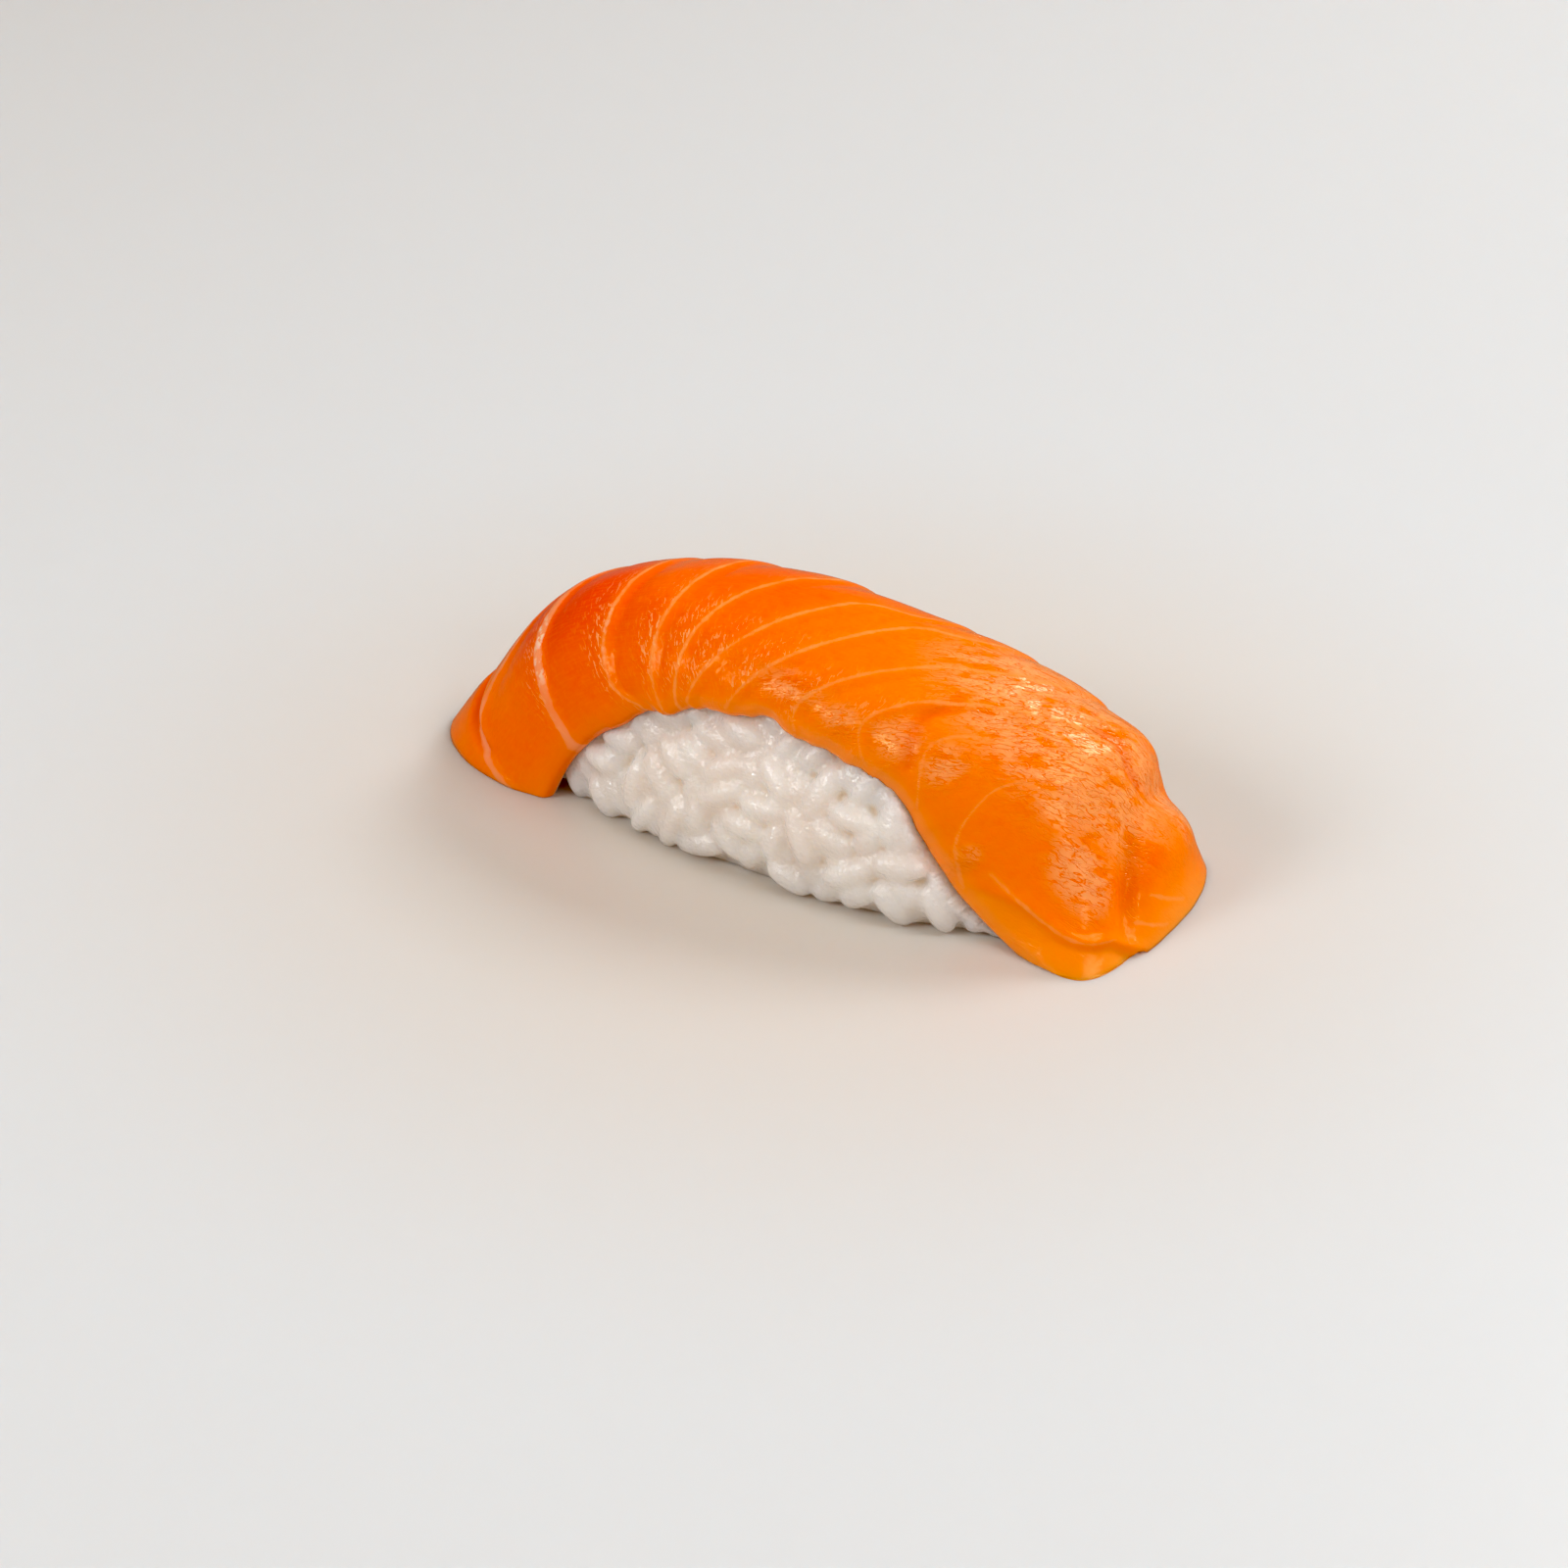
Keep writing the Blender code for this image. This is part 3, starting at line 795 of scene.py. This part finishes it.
def rice_tree(material):
    """Geometry Nodes: a grain on each point, turned as the point says, joined to the core."""
    tree = bpy.data.node_groups.new("rice grains", "GeometryNodeTree")
    face = tree.interface
    face.new_socket("Geometry", in_out="INPUT", socket_type="NodeSocketGeometry")
    face.new_socket("Core", in_out="INPUT", socket_type="NodeSocketObject")
    for name in ("Grain length", "Grain width"):
        face.new_socket(name, in_out="INPUT", socket_type="NodeSocketFloat")
    face.new_socket("Seed", in_out="INPUT", socket_type="NodeSocketInt")
    face.new_socket("Geometry", in_out="OUTPUT", socket_type="NodeSocketGeometry")
    start = tree.nodes.new("NodeGroupInput").outputs
    end = tree.nodes.new("NodeGroupOutput")

    axes = {0: vector_attribute(tree, "facing"), 1: vector_attribute(tree, "lie")}
    turned = add_node(tree, "FunctionNodeAxesToRotation", axes, primary_axis="Z", secondary_axis="X").outputs[0]
    girth = random_vector(tree, (0.0, 0.90, 0.86), (0.0, 1.10, 1.04), start["Seed"])
    share = add_node(tree, "GeometryNodeInputNamedAttribute", {"Name": "share"}, data_type="FLOAT").outputs[0]
    length = add_node(tree, "ShaderNodeCombineXYZ", {0: share}).outputs[0]
    stretch = add_node(tree, "ShaderNodeVectorMath", {0: girth, 1: length}, operation="ADD").outputs[0]
    inputs = {"Points": start["Geometry"], "Instance": grain_shape(tree, start), "Rotation": turned, "Scale": stretch}
    strewn = add_node(tree, "GeometryNodeInstanceOnPoints", inputs).outputs[0]
    both = add_node(tree, "GeometryNodeJoinGeometry")
    core = add_node(tree, "GeometryNodeObjectInfo", {"Object": start["Core"]}).outputs["Geometry"]
    tree.links.new(core, both.inputs[0])
    tree.links.new(strewn, both.inputs[0])
    real = add_node(tree, "GeometryNodeRealizeInstances", {0: both.outputs[0]}).outputs[0]
    finished = add_node(tree, "GeometryNodeSetMaterial", {0: real, "Material": material}).outputs[0]
    tree.links.new(finished, end.inputs[0])
    return tree


def vector_attribute(tree, name):
    return add_node(tree, "GeometryNodeInputNamedAttribute", {"Name": name}, data_type="FLOAT_VECTOR").outputs[0]


def grain_shape(tree, start):
    """A ball stretched to the grain's length, with blunter ends than an egg has."""
    ball = add_node(tree, "GeometryNodeMeshIcoSphere", {"Radius": 0.5, "Subdivisions": 3}).outputs[0]
    place = add_node(tree, "GeometryNodeInputPosition").outputs[0]
    parts = add_node(tree, "ShaderNodeSeparateXYZ", {0: place}).outputs
    waist = times(tree, parts[0], parts[0])
    fuller = plus(tree, times(tree, waist, 0.9), 1.0)
    blunt = add_node(tree, "ShaderNodeCombineXYZ", {0: parts[0], 1: times(tree, parts[1], fuller),
                                                    2: times(tree, parts[2], fuller)}).outputs[0]
    shaped = add_node(tree, "GeometryNodeSetPosition", {"Geometry": ball, "Position": blunt}).outputs[0]
    size = add_node(tree, "ShaderNodeCombineXYZ", {0: start["Grain length"], 1: start["Grain width"],
                                                   2: start["Grain width"]}).outputs[0]
    return add_node(tree, "GeometryNodeTransform", {"Geometry": shaped, "Scale": size}).outputs[0]


def random_vector(tree, low, high, seed):
    inputs = {0: low, 1: high, "Seed": seed}
    return add_node(tree, "FunctionNodeRandomValue", inputs, data_type="FLOAT_VECTOR").outputs[0]


def set_tree_inputs(modifier, values):
    for item in modifier.node_group.interface.items_tree:
        if item.item_type == "SOCKET" and item.in_out == "INPUT" and item.name in values:
            modifier[item.identifier] = values[item.name]


def plain_mesh_of(source, name):
    """The evaluated object as a plain mesh object; the source is removed."""
    bpy.context.view_layer.update()
    evaluated = source.evaluated_get(bpy.context.evaluated_depsgraph_get())
    mesh = bpy.data.meshes.new_from_object(evaluated)
    mesh.name = name
    bpy.data.objects.remove(source, do_unlink=True)
    plain = bpy.data.objects.new(name, mesh)
    bpy.context.scene.collection.objects.link(plain)
    return plain


def make_rice(salmon):
    material = rice_material()
    slab = BVHTree.FromPolygons([vertex.co for vertex in salmon.data.vertices],
                                [face.vertices for face in salmon.data.polygons])
    core = make_loaf("rice core", CORE_SHRINK)
    outside = make_loaf("rice outside", GRAINS_INSIDE)
    source = grain_points(lay_grains(outside.data, slab))
    bpy.data.objects.remove(outside, do_unlink=True)
    grains = source.modifiers.new("grains", "NODES")
    grains.node_group = rice_tree(material)
    set_tree_inputs(grains, {
        "Core": core, "Grain length": GRAIN_LENGTH, "Grain width": GRAIN_WIDTH, "Seed": GRAIN_SEED,
    })
    loose = plain_mesh_of(source, "loose rice")
    bpy.data.objects.remove(core, do_unlink=True)
    stuck = stick_together(loose, "stuck rice", 3)
    fill_hollows(stuck.data)
    rice = stick_together(stuck, "rice", 1)
    tuck_under(rice.data, slab)
    # The hollows' depth, which sets the painted shade there.
    store_values(rice.data, "cavity", hollow_depths(rice.data)[0] / MM)
    rice.data.materials.clear()
    rice.data.materials.append(material)
    shade_sides_smooth(rice.data)
    return rice


def stick_together(source, name, softening):
    """The pieces of a mesh joined into one skin where they touch, a little softened."""
    stick = source.modifiers.new("sticking together", "REMESH")
    stick.mode = "VOXEL"
    stick.voxel_size = STICKING
    soften = source.modifiers.new("softened", "SMOOTH")
    soften.factor = 0.5
    soften.iterations = softening
    return plain_mesh_of(source, name)


def vertex_places(mesh):
    places = np.empty(len(mesh.vertices) * 3, dtype=np.float32)
    mesh.vertices.foreach_get("co", places)
    return places.reshape(-1, 3).astype(float)


def way_out(place, slab):
    """How far the straight way from the rice's heart to a place is, its direction, and how far
    along it the slice's underside lies, if it does before that place."""
    low, high = HEART_REACH
    heart = Vector((min(max(place.x, low), high), 0.0, HEART_HEIGHT))
    towards = place - heart
    length = towards.length
    towards.normalize()
    hit = slab.ray_cast(heart, towards, length + SLICE_CLEARANCE)
    return heart, towards, hit[3]


def tuck_under(mesh, slab):
    """Press the rice back to the slice's underside wherever it would reach past it, rest it on
    the floor, and ease the folds that this leaves."""
    pressed = np.zeros(len(mesh.vertices))
    for vertex in mesh.vertices:
        heart, towards, reach = way_out(vertex.co, slab)
        if reach is not None:
            vertex.co = heart + towards * (reach - SLICE_CLEARANCE)
            pressed[vertex.index] = 1.0
        vertex.co.z = max(vertex.co.z, 0.0)
    places = vertex_places(mesh)
    places += (smoothed(mesh, PRESSED_SMOOTHING) - places) * pressed[:, None]
    mesh.vertices.foreach_set("co", places.astype(np.float32).ravel())
    mesh.update()


def hollow_depths(mesh):
    """How deep each point lies below the rice around it, and its outward direction."""
    normals = np.empty(len(mesh.vertices) * 3, dtype=np.float32)
    mesh.vertices.foreach_get("normal", normals)
    normals = normals.reshape(-1, 3)
    depth = ((smoothed(mesh, 40) - vertex_places(mesh)) * normals).sum(axis=1)
    return depth, normals


def fill_hollows(mesh):
    """Fill each hollow between grains partly."""
    depth, normals = hollow_depths(mesh)
    places = vertex_places(mesh) + normals * (HOLLOW_FILL * np.clip(depth, 0.0, None))[:, None]
    mesh.vertices.foreach_set("co", places.astype(np.float32).ravel())
    mesh.update()


def rice_material():
    material, tree, shader = new_material("cooked rice")
    space = add_node(tree, "ShaderNodeTexCoord").outputs["Object"]
    patches = smooth_range(tree, noise_value(tree, space, 200.0, 3.0), 0.35, 0.65)
    colour = mix_colours(tree, patches, (0.84, 0.755, 0.70, 1), (0.90, 0.845, 0.80, 1))
    # Painted shade: darker, warmer beige down in the hollows between grains.
    painted_hollow_shade = smooth_range(tree, attribute_value(tree, "cavity"), 0.25, 0.9)
    colour = mix_colours(tree, painted_hollow_shade, colour, (0.80, 0.65, 0.50, 1))
    pits = noise_value(tree, space, 2400.0, 2.0, 0.6)
    swell = noise_value(tree, space, 600.0, 2.0)
    surface = plus(tree, times(tree, pits, 1.1), times(tree, swell, 0.8))
    bump = add_node(tree, "ShaderNodeBump", {"Strength": 1.0, "Distance": 0.00014, "Height": surface}).outputs[0]
    connect(tree, colour, shader.inputs["Base Color"])
    connect(tree, bump, shader.inputs["Normal"])
    shader.inputs["Roughness"].default_value = 0.18
    shader.inputs["IOR"].default_value = 1.45
    shader.inputs["Specular IOR Level"].default_value = 0.7
    shader.inputs["Subsurface Weight"].default_value = 0.9
    shader.inputs["Subsurface Radius"].default_value = (1.0, 0.85, 0.7)
    shader.inputs["Subsurface Scale"].default_value = 0.009
    return material


# ---------------------------------------------------------------- the stage

def make_floor():
    mesh = bpy.data.meshes.new("floor")
    reach = 4.0
    mesh.from_pydata([(-reach, -reach, 0), (reach, -reach, 0), (reach, reach, 0), (-reach, reach, 0)],
                     [], [(0, 1, 2, 3)])
    floor = bpy.data.objects.new("floor", mesh)
    bpy.context.scene.collection.objects.link(floor)
    material, tree, shader = new_material("pale floor")
    space = add_node(tree, "ShaderNodeTexCoord").outputs["Object"]
    away = add_node(tree, "ShaderNodeVectorMath", {0: space}, operation="LENGTH").outputs["Value"]
    # Painted bounce and shade: the floor turns darker and warmer towards the food.
    painted_bounce = smooth_range(tree, away, FLOOR_BOUNCE_REACH, 0.0)
    colour = mix_colours(tree, painted_bounce, (0.64, 0.682, 0.722, 1), (0.60, 0.553, 0.50, 1))
    connect(tree, colour, shader.inputs["Base Color"])
    shader.inputs["Roughness"].default_value = 0.35
    shader.subsurface_method = "BURLEY"
    shader.inputs["Subsurface Weight"].default_value = 0.7
    shader.inputs["Subsurface Radius"].default_value = (1.0, 0.55, 0.35)
    shader.inputs["Subsurface Scale"].default_value = 0.004
    floor.data.materials.append(material)
    floor.visible_glossy = False


def direction(azimuth, elevation):
    """Unit vector from the object towards a place seen at that azimuth and elevation."""
    turn = math.radians(azimuth)
    lift = math.radians(elevation)
    return Vector((math.sin(turn) * math.cos(lift), -math.cos(turn) * math.cos(lift), math.sin(lift)))


def make_camera():
    camera = bpy.data.objects.new("camera", bpy.data.cameras.new("camera"))
    camera.data.lens = VIEW_LENS
    camera.data.clip_start = 0.01
    towards = direction(VIEW_AZIMUTH, VIEW_ELEVATION)
    camera.location = Vector(VIEW_AIM) + towards * VIEW_DISTANCE
    camera.rotation_euler = towards.to_track_quat("Z", "Y").to_euler()
    bpy.context.scene.collection.objects.link(camera)
    bpy.context.scene.camera = camera


def add_window(name, azimuth, elevation, size, brightness, colour):
    """A soft rectangular light that fills size (width, height in metres) at WINDOW_DISTANCE."""
    light = bpy.data.lights.new(name, "AREA")
    light.shape = "RECTANGLE"
    light.size, light.size_y = size
    light.energy = math.pi * size[0] * size[1] * brightness
    light.color = colour
    window = bpy.data.objects.new(name, light)
    towards = direction(azimuth, elevation)
    window.location = towards * WINDOW_DISTANCE
    window.rotation_euler = towards.to_track_quat("Z", "Y").to_euler()
    bpy.context.scene.collection.objects.link(window)


def make_light():
    add_window("back window", 164.0, 40.0, (0.34, 0.28), 15.0, WINDOW_COLOUR)
    add_window("high window", 100.0, 54.0, (0.40, 0.32), 8.0, WINDOW_COLOUR)
    add_window("front window", -36.0, 34.0, (0.34, 0.26), 13.0, WINDOW_COLOUR)
    add_window("side window", 62.0, 34.0, (0.16, 0.14), 10.0, WINDOW_COLOUR)
    world = bpy.data.worlds.new("studio")
    bpy.context.scene.world = world
    world.use_nodes = True
    sky = world.node_tree.nodes["Background"]
    sky.inputs["Color"].default_value = ROOM_COLOUR
    sky.inputs["Strength"].default_value = ROOM_BRIGHTNESS
    view = bpy.context.scene.view_settings
    view.view_transform = "Standard"
    view.use_curve_mapping = True
    view.curve_mapping.black_level = (BLACK_POINT, BLACK_POINT, BLACK_POINT)
    view.curve_mapping.update()


make_floor()
make_camera()
make_light()

salmon = make_salmon()
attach(salmon, "root")
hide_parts("salmon_slice")

rice = make_rice(salmon)
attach(rice, "root")
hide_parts("rice_bed")
